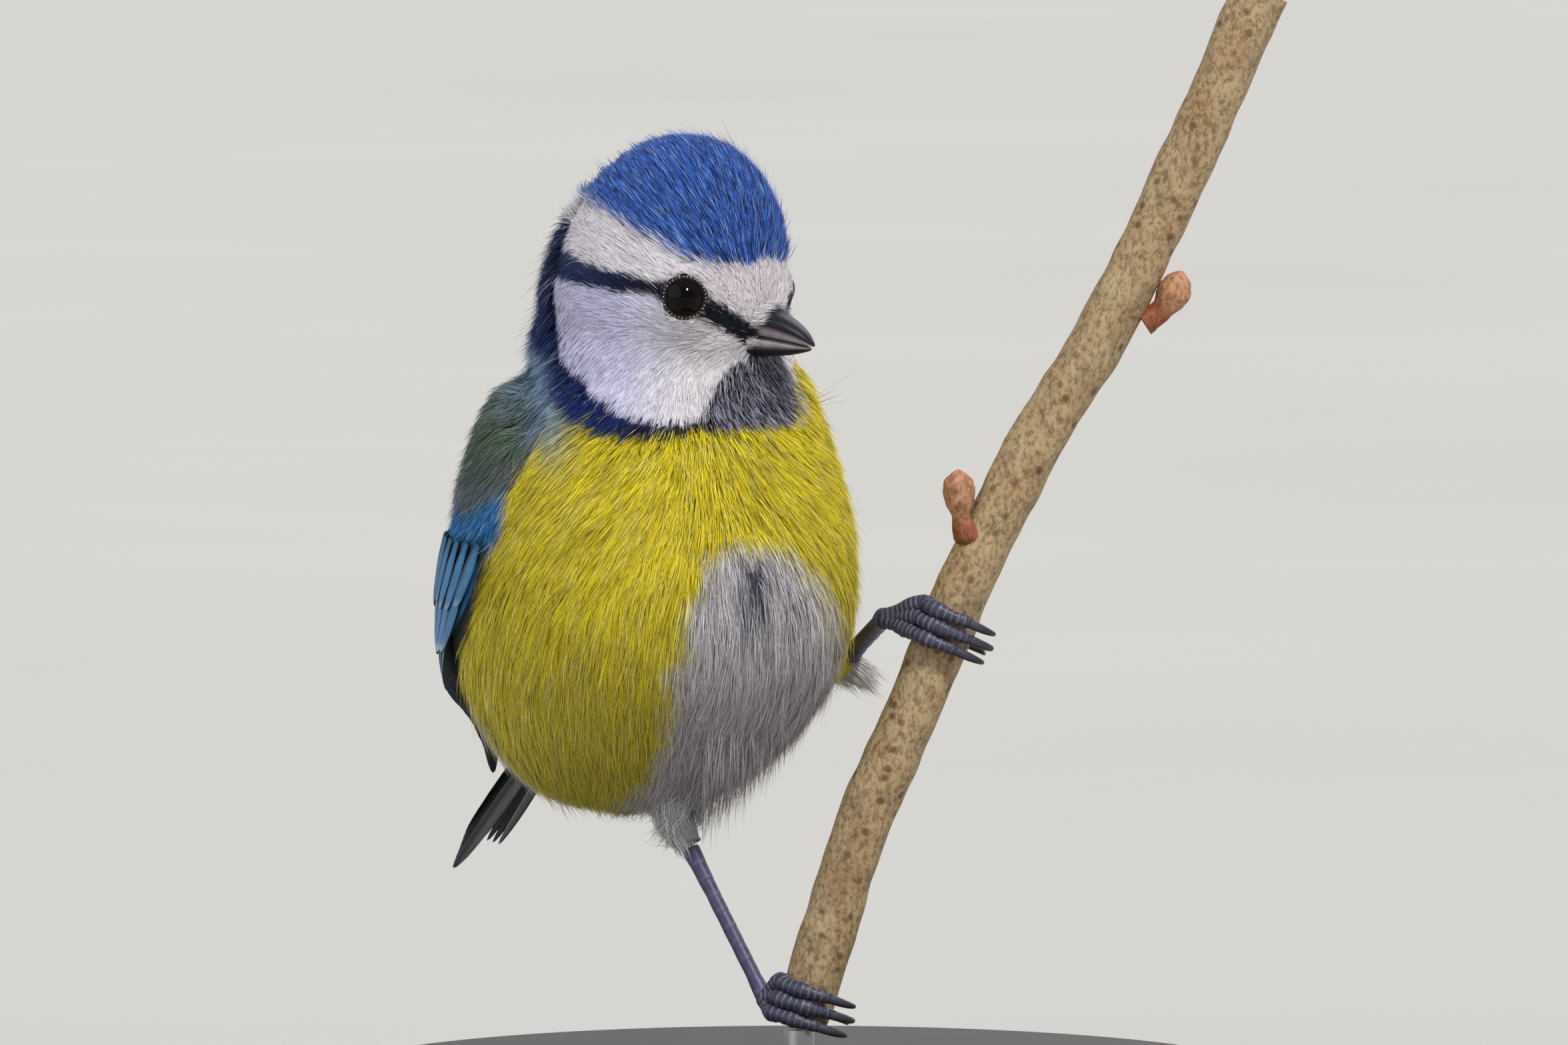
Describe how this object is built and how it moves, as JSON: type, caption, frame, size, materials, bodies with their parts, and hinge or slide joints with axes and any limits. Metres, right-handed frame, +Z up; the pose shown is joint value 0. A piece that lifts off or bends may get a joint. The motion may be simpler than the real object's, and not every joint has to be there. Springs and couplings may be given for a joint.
{
  "type": "blue tit model on a cut stem with a plain stand",
  "caption": "Still, life-size blue tit that grips a leaning cut stem, with folded wings and a closed tail, held on a round stand base by a short rod.",
  "frame": {"origin": "centre of the underside of the stand's base", "axes": "+Z up; the bird's breast faces -Y and its left side is towards +X; the head is turned 30 degrees towards +X"},
  "size_m": [0.1, 0.1032, 0.1224],
  "materials": {
    "head_feathers": "fine blue and white feathering, matte with a slight sheen",
    "collar_feathers": "dark blue feathering, matte",
    "body_feathers": "soft yellow feathering, matte",
    "bill": "smooth dark horn with paler cutting edges, satin",
    "eye": "wet, glossy dark brown",
    "wing_feathers": "blue, grey-green and dark vanes, slight sheen",
    "tail_feathers": "dark vanes with blue outer edges",
    "leg_feathers": "short white feathering, matte",
    "leg_skin": "slate blue scaled skin, satin",
    "claw": "smooth grey horn, satin",
    "bark": "rough golden-brown bark with small dark pores",
    "stand_wood": "dark stained wood, satin",
    "stand_steel": "brushed steel"
  },
  "bodies": {
    "root": {"head": "head_feathers", "neck": "collar_feathers", "torso": "body_feathers", "bill_upper": "bill", "bill_lower": "bill", "eye_left": "eye", "eye_right": "eye", "wing_left": "wing_feathers", "wing_right": "wing_feathers", "tail": "tail_feathers", "thigh_left": "leg_feathers", "thigh_right": "leg_feathers", "tarsus_left": "leg_skin", "tarsus_right": "leg_skin", "foot_left": "leg_skin", "foot_right": "leg_skin", "claw_left_1": "claw", "claw_left_2": "claw", "claw_left_3": "claw", "claw_left_4": "claw", "claw_right_1": "claw", "claw_right_2": "claw", "claw_right_3": "claw", "claw_right_4": "claw", "perch_stem": "bark", "stand_base": "stand_wood", "stand_rod": "stand_steel"}
  },
  "joints": []
}
